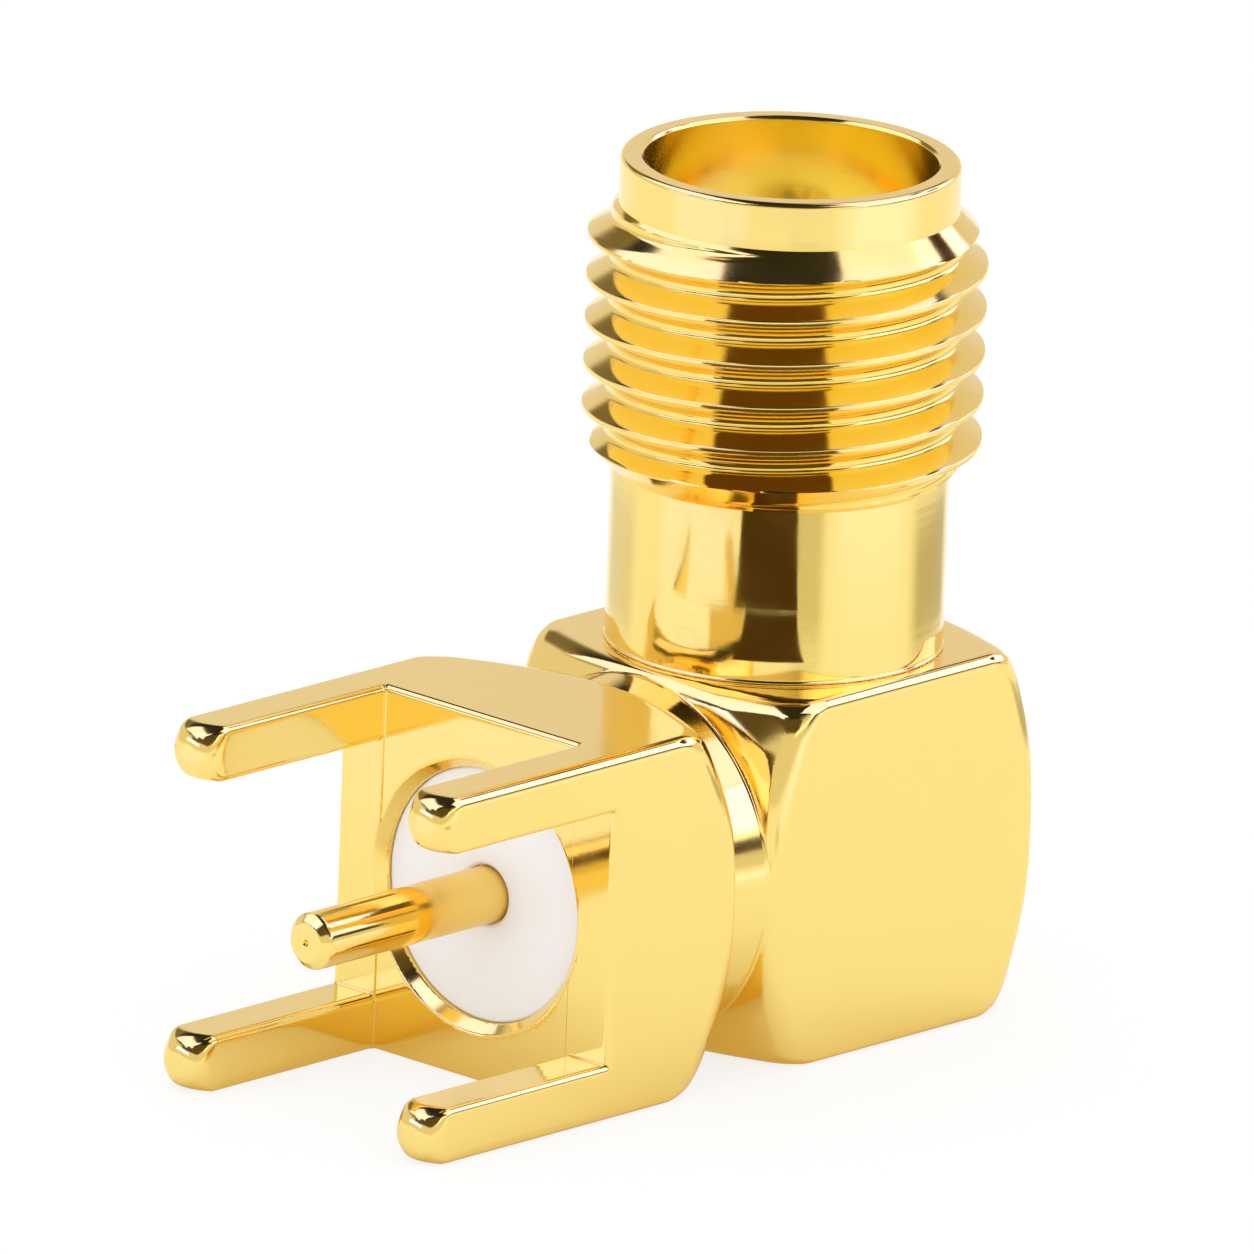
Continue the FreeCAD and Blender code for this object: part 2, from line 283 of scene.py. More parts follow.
def put(tree: Tree, kind: str, inputs: dict[str | int, Value] | None = None,
        **settings: str | int) -> bpy.types.Node:
    """Put a shader node into a tree.

    Args:
        tree: node tree to add it to.
        kind: the node's type.
        inputs: the socket or plain value for each input's name or number.
        **settings: the node's own settings.

    Returns:
        The node.
    """
    node = tree.nodes.new("ShaderNode" + kind)
    for name, setting in settings.items():
        setattr(node, name, setting)
    feed(tree, node, inputs or {})
    return node


def worked_out(tree: Tree, operation: str, *values: Socket | float) -> Socket:
    """Add a sum, product or other calculation.

    Args:
        tree: node tree to add it to.
        operation: the Math node's operation.
        values: its sockets or plain numbers, in order.

    Returns:
        The socket with the result.
    """
    return put(tree, "Math", dict(enumerate(values)), operation=operation).outputs[0]


def ranged(tree: Tree, value: Socket, start: float, end: float, low: Socket | float = 0.0,
           high: Socket | float = 1.0, smooth: bool = False) -> Socket:
    """Turn one range of a value into another, and hold it at the ends.

    Args:
        tree: node tree to add it to.
        value: the value.
        start: value at which the result is the low one.
        end: value at which the result is the high one.
        low: result at the start.
        high: result at the end.
        smooth: ease in and out instead of a straight slope.

    Returns:
        The socket with the result.
    """
    inputs = {"Value": value, "From Min": start, "From Max": end, "To Min": low, "To Max": high}
    slope = "SMOOTHSTEP" if smooth else "LINEAR"
    return put(tree, "MapRange", inputs, interpolation_type=slope).outputs["Result"]


def mixed(tree: Tree, share: Socket, first: Socket | Colour, second: Socket | Colour,
          blend: str = "MIX") -> Socket:
    """Mix two colours.

    Args:
        tree: node tree to add to.
        share: share of the second colour.
        first: socket or value of the first colour.
        second: socket or value of the second colour.
        blend: how they mix.

    Returns:
        The socket with the mixed colour.
    """
    inputs = {"Factor": share, "A": first, "B": second}
    return put(tree, "Mix", inputs, data_type="RGBA", blend_type=blend).outputs["Result"]


def noise(tree: Tree, place: Socket, scale: float, detail: float) -> Socket:
    """Add a noise texture.

    Args:
        tree: node tree to add it to.
        place: coordinates in metres.
        scale: repeats to the metre.
        detail: octaves of finer noise.

    Returns:
        The socket with the noise's value.
    """
    inputs = {"Vector": place, "Scale": scale, "Detail": detail}
    return put(tree, "TexNoise", inputs).outputs["Fac"]


def bump(tree: Tree, height: Socket, depth: float, under: Socket | None = None) -> Socket:
    """Add a bump of a real depth.

    Args:
        tree: node tree to add it to.
        height: relief from 0 to 1.
        depth: depth of the relief in mm.
        under: normal that the relief lies on, if any.

    Returns:
        The socket with the bumped normal.
    """
    inputs = {"Height": height, "Distance": depth * MM}
    if under is not None:
        inputs["Normal"] = under
    return put(tree, "Bump", inputs).outputs["Normal"]


def turned_mesh(name: str, profile: list[Point], line: Line,
                segments: int = 192) -> bpy.types.Object:
    """Turn a closed or open profile round one of the jack's axes.

    Args:
        name: object name.
        profile: pairs of radius and place along the axis, in mm.
        line: the axis.
        segments: steps round the axis.

    Returns:
        The turned object, smooth with sharp edges kept.
    """
    work = bmesh.new()
    rings = []
    for radius, along in braced(profile):
        if radius < TINY:
            rings.append([work.verts.new(on_axis(line, 0.0, 0.0, along))])
            continue
        steps = [2 * math.pi * index / segments for index in range(segments)]
        rings.append([work.verts.new(on_axis(line, radius, angle, along)) for angle in steps])
    for lower, upper in zip(rings, rings[1:]):
        for index in range(segments):
            following = (index + 1) % segments
            corners = [lower[index % len(lower)], lower[following % len(lower)],
                       upper[following % len(upper)], upper[index % len(upper)]]
            unique = list(dict.fromkeys(corners))
            if len(unique) > 2:
                work.faces.new(unique)
    bmesh.ops.recalc_face_normals(work, faces=work.faces)
    return finished(name, work)


def braced(profile: list[Point], gap: float = 0.015) -> list[Point]:
    """Add a point close to both ends of each long edge, which keeps its shading straight.

    Args:
        profile: the profile's points.
        gap: distance of the added points from the ends, in mm.

    Returns:
        The profile with the added points.
    """
    made = [profile[0]]
    for start, end in zip(profile, profile[1:]):
        way = Vector(end) - Vector(start)
        if way.length > 4 * gap:
            step = way.normalized() * gap
            made += [tuple(Vector(start) + step), tuple(Vector(end) - step)]
        made.append(end)
    return made


def on_axis(line: Line, radius: float, angle: float, along: float) -> Vector:
    """Place a point round an axis.

    Args:
        line: the axis.
        radius: distance from the axis in mm.
        angle: angle round the axis in radians.
        along: distance along the axis in mm.

    Returns:
        The point in metres.
    """
    across = radius * math.cos(angle)
    aside = radius * math.sin(angle)
    start = Vector(line.value)
    if line is Line.BARREL:
        return (start + Vector((across, aside, along))) * MM
    return (start + Vector((across, along, -aside))) * MM


def finished(name: str, work: bmesh.types.BMesh, sharp: float = 30.0) -> bpy.types.Object:
    """Turn a bmesh into a smooth object whose edges over an angle stay sharp.

    Args:
        name: object name.
        work: the mesh, which is freed.
        sharp: angle in degrees.

    Returns:
        The new object, linked to the scene.
    """
    mesh = bpy.data.meshes.new(name)
    work.to_mesh(mesh)
    work.free()
    mesh.polygons.foreach_set("use_smooth", [True] * len(mesh.polygons))
    mesh.set_sharp_from_angle(angle=math.radians(sharp))
    made = bpy.data.objects.new(name, mesh)
    bpy.context.scene.collection.objects.link(made)
    return made


def rounded(points: list[Point], radii: dict[int, float], steps: int = 6) -> list[Point]:
    """Round some corners of an open profile.

    Args:
        points: the profile's corners.
        radii: rounding radius by corner number.
        steps: short edges in each rounding.

    Returns:
        The profile with arcs in place of those corners.
    """
    made: list[Point] = []
    for number, point in enumerate(points):
        radius = radii.get(number)
        if not radius:
            made.append(point)
            continue
        here = Vector(point)
        back = (Vector(points[number - 1]) - here).normalized()
        ahead = (Vector(points[number + 1]) - here).normalized()
        half = back.angle(ahead) / 2
        reach = radius / math.tan(half)
        centre = here + (back + ahead).normalized() * (radius / math.sin(half))
        first = here + back * reach - centre
        turn = first.angle_signed(here + ahead * reach - centre)
        for step in range(steps + 1):
            spoke = first.copy()
            spoke.rotate(Matrix.Rotation(-turn * step / steps, 2))
            made.append(tuple(centre + spoke))
    return made


def meet(radius: float, *depths: np.ndarray) -> np.ndarray:
    """Find what several solids share, with the edges between them rounded.

    Args:
        radius: rounding radius in mm.
        depths: signed distances to the solids in mm, negative inside.

    Returns:
        The signed distance to the shared solid.
    """
    deepest = depths[0]
    spread = 0.0
    for depth in depths:
        deepest = np.maximum(deepest, depth)
        spread = spread + np.maximum(depth + radius, 0.0) ** 2
    return np.minimum(deepest + radius, 0.0) + np.sqrt(spread) - radius


def add(radius: float, *depths: np.ndarray) -> np.ndarray:
    """Add solids together, with the corners between them filled to a radius in mm."""
    return -meet(radius, *(-depth for depth in depths))


def slopes(solid: Solid, points: np.ndarray) -> tuple[np.ndarray, np.ndarray]:
    """Measure a solid's signed distance and its slope at some points.

    Args:
        solid: function from x, y and z in mm to the signed distance.
        points: one row of x, y and z for each point.

    Returns:
        The distances, and unit vectors that point straight out of the solid.
    """
    step, least = 1e-4, 0.2
    rise = []
    for axis in range(3):
        shift = np.zeros(3)
        shift[axis] = step
        rise.append(solid(*(points + shift).T) - solid(*(points - shift).T))
    out = np.stack(rise, axis=1) / (2 * step)
    length = np.linalg.norm(out, axis=1, keepdims=True)
    return solid(*points.T) / np.maximum(length[:, 0], least), out / np.maximum(length, TINY)


def grid_lines(low: float, high: float, cell: float, edges: list[float]) -> np.ndarray:
    """Divide a length into cells, finer near the edges that lie square to it.

    Args:
        low: start of the length in mm.
        high: end of the length in mm.
        cell: size of a plain cell in mm.
        edges: places of the edges in mm.

    Returns:
        The places of the dividing lines.
    """
    lines = list(np.arange(low, high + cell, cell))
    steps = np.array((0.12, 0.3, 0.6, 1.0, 1.5, 2.1))
    apart = 2.5 * cell
    for edge in edges:
        lines = [line for line in lines if abs(line - edge) > apart]
        lines += list(edge + cell * np.concatenate((-steps, (0.0,), steps)))
    return np.unique(lines)


def cast(name: str, solid: Solid, lines: list[np.ndarray], pulls: int = 4) -> bpy.types.Object:
    """Make a mesh of a solid that is given by its signed distance.

    A vertex is set in each cell that the surface crosses, and drawn on to the surface.
    Flat parts are cleared of their inner edges.

    Args:
        name: object name.
        solid: function from x, y and z in mm to the signed distance.
        lines: dividing lines of the grid along the three axes.
        pulls: how often each vertex is drawn on to the surface.

    Returns:
        The object, with exact normals.
    """
    depths = solid(*np.ix_(*lines))
    inside = depths < 0.0
    corners = list(itertools.product((0, 1), repeat=3))
    counts = [size - 1 for size in depths.shape]

    def shifted(values: np.ndarray, corner: tuple[int, ...]) -> np.ndarray:
        """Take one corner's value in every cell."""
        return values[tuple(slice(at, at + count) for at, count in zip(corner, counts))]

    filled = sum(shifted(inside, corner).astype(np.uint8) for corner in corners)
    active = (filled > 0) & (filled < 8)
    cells = np.argwhere(active)
    number = np.full(active.shape, -1)
    number[active] = np.arange(len(cells))
    total = np.zeros((len(cells), 3))
    crossings = np.zeros((len(cells), 1))
    for start, end in itertools.combinations(corners, 2):
        if sum(a != b for a, b in zip(start, end)) > 1:
            continue
        ends = []
        for corner in (start, end):
            at = cells + corner
            place = np.stack([lines[axis][at[:, axis]] for axis in range(3)], axis=1)
            ends.append((depths[tuple(at.T)][:, None], place))
        (depth_a, place_a), (depth_b, place_b) = ends
        crossed = (depth_a < 0.0) != (depth_b < 0.0)
        share = np.where(crossed, depth_a / np.where(crossed, depth_a - depth_b, 1.0), 0.0)
        total += np.where(crossed, place_a + share * (place_b - place_a), 0.0)
        crossings += crossed
    points = total / crossings
    for _ in range(pulls):
        depth, out = slopes(solid, points)
        points -= out * depth[:, None]
    normals = slopes(solid, points)[1]
    quads = []
    for axis in range(3):
        side, top = (axis + 1) % 3, (axis + 2) % 3
        near = np.moveaxis(inside, (axis, side, top), (0, 1, 2))
        index = np.moveaxis(number, (axis, side, top), (0, 1, 2))
        leaves = near[:-1, 1:-1, 1:-1] & ~near[1:, 1:-1, 1:-1]
        enters = ~near[:-1, 1:-1, 1:-1] & near[1:, 1:-1, 1:-1]
        for crossing, order in ((leaves, (0, 1, 2, 3)), (enters, (3, 2, 1, 0))):
            at, left, low = np.nonzero(crossing)
            ring = [index[at, left, low], index[at, left + 1, low],
                    index[at, left + 1, low + 1], index[at, left, low + 1]]
            quads.append(np.stack([ring[place] for place in order], axis=1))
    made = cleared(name, points, normals, np.concatenate(quads))
    kept = np.zeros(len(made.data.vertices) * 3)
    made.data.vertices.foreach_get("co", kept)
    exact = slopes(solid, kept.reshape(-1, 3) / MM)[1]
    made.data.normals_split_custom_set_from_vertices(exact.tolist())
    return made


def cleared(name: str, points: np.ndarray, normals: np.ndarray,
            quads: np.ndarray) -> bpy.types.Object:
    """Turn a fine net of quads into an object without the edges inside its flat parts.

    Args:
        name: object name.
        points: vertices in mm.
        normals: exact normal at each vertex.
        quads: vertex numbers of each face.

    Returns:
        The object.
    """
    mesh = bpy.data.meshes.new(name)
    mesh.from_pydata((points * MM).tolist(), [], quads.tolist())
    spread = np.abs(normals[quads] - normals[quads[:, :1]]).max(axis=(1, 2))
    work = bmesh.new()
    work.from_mesh(mesh)
    work.normal_update()
    bpy.data.meshes.remove(mesh)
    flat = 1e-5
    for face, bend in zip(work.faces, spread):
        face.tag = bend < flat
    loose = [edge for edge in work.edges if all(face.tag for face in edge.link_faces)]
    inner = [vert for vert in work.verts if all(face.tag for face in vert.link_faces)]
    bmesh.ops.dissolve_limit(work, angle_limit=1e-3, verts=inner, edges=loose)
    return finished(name, work, sharp=180.0)


@dataclass
class ElbowBody:
    """The one-piece body: block, turned ring, foot and four legs, cut from a square bar."""

    bar_side: float = 6.0
    long_round: float = 0.17
    edge_round: float = 0.25
    corner_round: float = 0.3
    leg_side: float = 0.92
    leg_length: float = 4.0
    leg_edge: float = 0.14
    tip_flat: float = 0.27
    tip_round: float = 0.11
    slot_step: float = 0.025
    foot_thickness: float = 3.02
    foot_slope: float = math.radians(39)
    ring_length: float = 0.58
    ring_radii: Point = (2.79, 2.92)
    block_length: float = 6.24
    block_slope: float = math.radians(30)
    cone_radius: float = 2.95
    bore_radius: float = 2.06
    mouth_cover: float = 0.3
    bore_mouth: float = 2.25
    bore_depth: float = 3.79
    cavity_radius: float = 1.5
    cavity_depth: float = 8.27
    neck_radius: float = 2.68
    seat_depth: float = 1.2
    shoulder_radius: float = 1.4
    floor_round: float = 0.006
    corner_fill: float = 0.03
    bore_edge: float = 0.02
    wide_from: float = 0.82
    ring_cover: float = 0.9
    cell: float = 0.075
    gold: Gold = field(default_factory=lambda: Gold("gold_body"))

    @property
    def block_front(self) -> float:
        """Place of the block's front end along the bar."""
        return self.foot_thickness + self.ring_length

    @property
    def block_back(self) -> float:
        """Place of the block's back end along the bar."""
        return self.block_front + self.block_length

    @property
    def slot(self) -> float:
        """Half the width of the slots that part the legs."""
        return self.bar_side / 2 - self.leg_side

    def legs(self, x: np.ndarray, y: np.ndarray, z: np.ndarray) -> np.ndarray:
        """Measure the depth in the bar's leg end: crossed slots and bevelled leg tips.

        Args:
            x: places across in mm.
            y: places along the bar in mm.
            z: places up in mm.

        Returns:
            Signed distances in mm.
        """
        across, upright = np.abs(x), np.abs(z)
        trough = np.maximum(across - self.slot, y - self.slot_step)
        floor = meet(self.floor_round, -y, -trough)
        column = meet(self.leg_edge, self.slot - across, self.slot - upright)
        middle = self.bar_side / 2 - self.leg_side / 2
        spoke = np.hypot(across - middle, upright - middle)
        bevel = (spoke - self.tip_flat - y - self.leg_length) * math.sqrt(0.5)
        leg = meet(self.tip_round, column, bevel, -y - self.leg_length)
        return add(self.corner_fill, floor, leg)

    def bores(self, x: np.ndarray, y: np.ndarray, z: np.ndarray) -> np.ndarray:
        """Measure the depth in the bores along the foot and down from the block's top.

        Args:
            x: places across in mm.
            y: places along the bar in mm.
            z: places up in mm.

        Returns:
            Signed distances in mm.
        """
        reach = np.hypot(x, z)
        mouth = np.maximum((reach - self.bore_mouth + y) * math.sqrt(0.5),
                           -y - self.mouth_cover)
        bore = np.maximum(reach - self.bore_radius, y - self.bore_depth)
        cavity = np.maximum(reach - self.cavity_radius, y - self.cavity_depth)
        upward = np.hypot(x, y - Line.BARREL.value[1])
        seat = np.maximum(upward - self.neck_radius, self.bar_side / 2 - self.seat_depth - z)
        shoulder = np.maximum(upward - self.shoulder_radius, -z)
        return add(0.0, mouth, bore, cavity, seat, shoulder)

    def solid(self, x: np.ndarray, y: np.ndarray, z: np.ndarray) -> np.ndarray:
        """Measure the depth in the whole body.

        Args:
            x: places across in mm.
            y: places along the bar in mm.
            z: places up in mm.

        Returns:
            Signed distances in mm, negative inside.
        """
        half = self.bar_side / 2
        across, upright = np.abs(x), np.abs(z)
        reach = np.hypot(x, z)
        prism = meet(self.long_round, across - half, upright - half)
        toward = np.minimum(across, upright) / half - self.wide_from
        corner = np.clip(toward / (1.0 - self.wide_from), 0.0, 1.0)
        soft = self.edge_round + self.corner_round * corner ** 2
        rise = reach - self.cone_radius
        foot_back = y - self.foot_thickness
        foot_cone = foot_back * math.cos(self.foot_slope) + rise * math.sin(self.foot_slope)
        slab = meet(soft, prism, foot_back, foot_cone)
        foot = meet(self.tip_round, slab, self.legs(x, y, z))
        share = np.clip((y - self.foot_thickness) / self.ring_length, 0.0, 1.0)
        waist = self.ring_radii[0] + share * (self.ring_radii[1] - self.ring_radii[0])
        ring = np.maximum(reach - waist, np.abs(y - self.block_front) - self.ring_cover)
        lean, fall = math.cos(self.block_slope), math.sin(self.block_slope)
        front, back = self.block_front - y, y - self.block_back
        block = meet(soft, prism, front, back, front * lean + rise * fall,
                     back * lean + rise * fall)
        bar = add(self.corner_fill, foot, ring, block)
        return meet(self.bore_edge, bar, -self.bores(x, y, z))

    def build(self) -> bpy.types.Object:
        """Mill, turn and bore the body.

        Returns:
            The body's object.
        """
        half, margin = self.bar_side / 2, 2 * self.cell
        sides = [-half, -self.slot, self.slot, half]
        ends = [-self.leg_length, 0.0, self.foot_thickness, self.block_front, self.block_back]
        lines = [grid_lines(-half - margin, half + margin, self.cell, sides),
                 grid_lines(-self.leg_length - margin, self.block_back + margin, self.cell, ends),
                 grid_lines(-half - margin, half + margin, self.cell, sides)]
        return cast("elbow_body_bright", self.solid, lines)


@dataclass
class ThreadedBarrel:
    """The turned barrel: neck, coupling thread, pilot and mouth."""

    foot: float = 1.8
    block_top: float = 3.0
    neck_radius: float = 2.68
    base_ring: float = 0.055
    thread_start: float = 5.825
    thread_end: float = 10.12
    thread_radius: float = 3.175
    pitch: float = 0.7056
    phase: float = -0.2
    depth: float = 0.41
    crest: float = 0.07
    crest_round: float = 0.03
    root_round: float = 0.12
    flank_slope: float = math.radians(30)
    fine_step: float = 0.045
    pilot_radius: float = 2.7
    rim: float = 10.89
    rim_round: float = 0.09
    mouth_radius: float = 2.33
    mouth_lead: float = 0.05
    floor: float = 8.96
    bore_radius: float = 2.05
    segments: int = 192
    gold: Gold = field(default_factory=lambda: Gold(
        "gold_barrel", tool_marks=0.0005, zones=(
            # mouth's inside: duller, and painted a deeper gold as the shade of light bounced within
            # it
            SatinAndShade(Line.BARREL, 2.36, 8.9, 0.06, (1.0, 1.02, 0.5)),
            # thread's grooves: painted a deeper gold towards the root, as shade between the crests
            SatinAndShade(Line.BARREL, 3.15, 5.85, 0.002, (0.98, 0.94, 0.68), 0.1, 10.1, 0.25))))

    def thread_profile(self) -> list[Point]:
        """Lay out one pitch of the thread.

        Returns:
            Pairs of place along the pitch and radius, from one groove's middle to the next.
        """
        root = self.thread_radius - self.depth
        flank = self.depth * math.tan(self.flank_slope)
        half = self.pitch / 2
        crest = self.crest / 2
        corners = [(-half, root), (-crest - flank, root), (-crest, self.thread_radius),
                   (crest, self.thread_radius), (crest + flank, root), (half, root)]
        soft = rounded(corners, {1: self.root_round, 2: self.crest_round, 3: self.crest_round,
                                 4: self.root_round}, steps=5)
        fine: list[Point] = []
        for start, end in zip(soft, soft[1:]):
            parts = max(1, round((Vector(end) - Vector(start)).length / self.fine_step))
            for part in range(parts):
                share = part / parts
                fine.append(tuple(Vector(start).lerp(Vector(end), share)))
        return fine

    def clipped(self, along: float, radius: float) -> Point:
        """Hold a thread point inside the bevelled ends of the threaded length.

        Args:
            along: the point's place along the barrel in mm.
            radius: its distance from the axis in mm.

        Returns:
            The place and the distance inside the bevels.
        """
        place = min(max(along, self.thread_start), self.thread_end)
        low = self.neck_radius + (place - self.thread_start)
        high = self.pilot_radius + (self.thread_end - place)
        return place, min(radius, low, high)

    def build(self) -> bpy.types.Object:
        """Turn the barrel and cut its thread.

        Returns:
            The dressed barrel.
        """
        work = bmesh.new()
        profile = self.thread_profile()
        turns = math.ceil((self.thread_end - self.thread_start) / self.pitch) + 2
        columns: list[list[bmesh.types.BMVert]] = []
        for step in range(self.segments + 1):
            angle = 2 * math.pi * step / self.segments
            column = []
            for turn in range(turns):
                rise = (turn - 1 + step / self.segments) * self.pitch
                base = self.thread_start + self.phase + rise
                for offset, radius in profile:
                    place, reach = self.clipped(base + offset, radius)
                    column.append(work.verts.new(on_axis(Line.BARREL, reach, angle, place)))
            columns.append(column)
        for left, right in zip(columns, columns[1:]):
            for low in range(len(left) - 1):
                work.faces.new([left[low], right[low], right[low + 1], left[low + 1]])
        bmesh.ops.remove_doubles(work, verts=work.verts, dist=1e-8)
        bmesh.ops.dissolve_degenerate(work, edges=work.edges, dist=1e-8)
        thread = finished("thread_part", work, sharp=40.0)
        lower = turned_mesh("neck_part", rounded([
            (self.bore_radius, self.foot), (self.neck_radius, self.foot),
            (self.neck_radius, self.block_top), (self.neck_radius + self.base_ring, self.block_top),
            (self.neck_radius, self.block_top + self.base_ring),
            (self.neck_radius, self.thread_start)], {3: 0.02, 4: 0.03}), Line.BARREL, self.segments)
        upper = turned_mesh("mouth_part", rounded([
            (self.pilot_radius, self.thread_end), (self.pilot_radius, self.rim),
            (self.mouth_radius + self.mouth_lead, self.rim),
            (self.mouth_radius, self.rim - self.mouth_lead),
            (self.mouth_radius, self.floor), (self.bore_radius, self.floor),
            (self.bore_radius, self.foot)], {1: self.rim_round, 2: 0.03, 3: 0.03}),
            Line.BARREL, self.segments)
        return joined("threaded_barrel_bright", [thread, lower, upper])


def joined(name: str, parts: list[bpy.types.Object]) -> bpy.types.Object:
    """Weld several meshes into one object.

    Args:
        name: name of the result.
        parts: objects to weld, which are removed.

    Returns:
        The welded object.
    """
    work = bmesh.new()
    for part in parts:
        work.from_mesh(part.data)
        bpy.data.objects.remove(part)
    bmesh.ops.remove_doubles(work, verts=work.verts, dist=2e-7)
    bmesh.ops.recalc_face_normals(work, faces=work.faces)
    return finished(name, work, sharp=40.0)


@dataclass
class TailPin:
    """The solder pin: bevelled tip with a centre mark, thicker inside the insulator."""

    radius: float = 0.46
    length: float = 3.83
    bevel: float = 0.14
    dimple: float = 0.06
    dimple_depth: float = 0.1
    shank_radius: float = 0.635
    shoulder: float = 0.37
    shank_end: float = 3.79
    head_radius: float = 0.8
    head_end: float = 7.52
    gold: Gold = field(default_factory=lambda: Gold(
        "gold_pin", marks_along="Y", tool_marks=0.0006, zones=(
            # pin's rear between the legs: rougher satin, and painted browner as the shade there
            SatinAndShade(Line.PIN, 1.0, -1.45, 0.22, (0.96, 0.82, 0.6), 0.3),)))

    def build(self) -> bpy.types.Object:
        """Turn the pin.

        Returns:
            The dressed pin.
        """
        profile = rounded([
            (0.0, -self.length + self.dimple_depth), (self.dimple, -self.length),
            (self.radius - self.bevel, -self.length), (self.radius, -self.length + self.bevel),
            (self.radius, self.shoulder), (self.shank_radius, self.shoulder),
            (self.shank_radius, self.shank_end), (self.head_radius, self.shank_end),
            (self.head_radius, self.head_end), (0.0, self.head_end)],
            {1: 0.015, 2: 0.07, 3: 0.1})
        return turned_mesh("tail_pin_bright", profile, Line.PIN, 96)


@dataclass
class FootInsulator:
    """The white bush in the foot, with a soft edge round the pin's hole."""

    radius: float = 2.06
    hole_radius: float = 0.635
    lip_radius: float = 0.475
    lip_depth: float = 0.12
    face: float = 0.25
    back: float = 3.79
    ptfe: Ptfe = field(default_factory=lambda: Ptfe("ptfe_foot"))

    def build(self) -> bpy.types.Object:
        """Turn the bush.

        Returns:
            The dressed bush.
        """
        profile = rounded([
            (self.hole_radius, self.back), (self.hole_radius, self.face + self.lip_depth),
            (self.lip_radius, self.face + self.lip_depth), (self.lip_radius, self.face),
            (self.radius, self.face), (self.radius, self.back),
            (self.hole_radius, self.back)], {3: 0.08, 4: 0.05})
        return turned_mesh("foot_insulator_white", profile, Line.PIN, 192)


@dataclass(frozen=True)
class Camera:
    """The photograph's view: angles in degrees, lengths in mm, places in photograph pixels."""

    azimuth: float = 42.9
    elevation: float = 16.5
    roll: float = -2.09
    centre: Point = (766.8, 818.3)
    pixels_per_mm: float = 63.2
    distance: float = 850.0
    frame_size: int = 1254
    sensor: float = 36.0

    def build(self) -> None:
        """Create the camera and make it the scene's."""
        angles = (self.azimuth, self.elevation, self.roll)
        turn, tilt, roll = (math.radians(angle) for angle in angles)
        back = Vector((math.sin(turn) * math.cos(tilt), -math.cos(turn) * math.cos(tilt),
                       math.sin(tilt)))
        right = Vector((math.cos(turn), math.sin(turn), 0.0))
        up = back.cross(right)
        across = right * math.cos(roll) - up * math.sin(roll)
        upward = right * math.sin(roll) + up * math.cos(roll)
        middle = self.frame_size / 2
        aside = (self.centre[0] - middle) / self.pixels_per_mm
        above = (middle - self.centre[1]) / self.pixels_per_mm
        target = Vector(Line.BARREL.value)
        place = target + back * self.distance - across * aside - upward * above
        data = bpy.data.cameras.new("camera")
        data.sensor_width = self.sensor
        data.lens = self.sensor * self.pixels_per_mm * self.distance / self.frame_size
        data.clip_start = 0.01
        data.clip_end = 10.0
        camera = bpy.data.objects.new("camera", data)
        columns = Matrix((across, upward, back)).transposed().to_4x4()
        camera.matrix_world = Matrix.Translation(place * MM) @ columns
        bpy.context.scene.collection.objects.link(camera)
        bpy.context.scene.camera = camera


@dataclass(frozen=True)
class Card:
    """A studio card beside the jack, out of the camera's sight.

    Attributes:
        name: object name.
        bearing: direction from the jack, in degrees from the camera's side towards its right.
        height: angle above the horizon in degrees.
        distance: distance from the jack in mm.
        reach: angles from the middle to the side and to the top, in degrees.
        level: brightness, where 1 is white.
        tint: colour of its light.
        edge: share of the card over which its border fades.
        for_metal: polished surfaces pick it up; otherwise it lights the matt ones alone.
    """

    name: str
    bearing: float
    height: float
    distance: float
    reach: tuple[float, float]
    level: float
    tint: Colour = WHITE
    edge: float = 0.12
    for_metal: bool = True

    def build(self, aim: Vector, front: float) -> None:
        """Hang the card so that it faces the jack.

        Args:
            aim: the point that it faces, in mm.
            front: the camera's azimuth in degrees.
        """
        turn, tilt = math.radians(front + self.bearing), math.radians(self.height)
        away = Vector((math.sin(turn) * math.cos(tilt), -math.cos(turn) * math.cos(tilt),
                       math.sin(tilt)))
        half = [self.distance * math.tan(math.radians(angle)) for angle in self.reach]
        work = bmesh.new()
        bmesh.ops.create_grid(work, x_segments=1, y_segments=1, size=1.0)
        card = finished(self.name, work)
        facing = (-away).to_track_quat("Z", "Y").to_matrix().to_4x4()
        size = Matrix.Diagonal((half[0] * MM, half[1] * MM, 1.0, 1.0))
        card.matrix_world = Matrix.Translation((aim + away * self.distance) * MM) @ facing @ size
        show_to_metal(card, glowing(self.name, self.level, self.tint, self.edge))
        card.visible_glossy = self.for_metal
        card.visible_diffuse = not self.for_metal


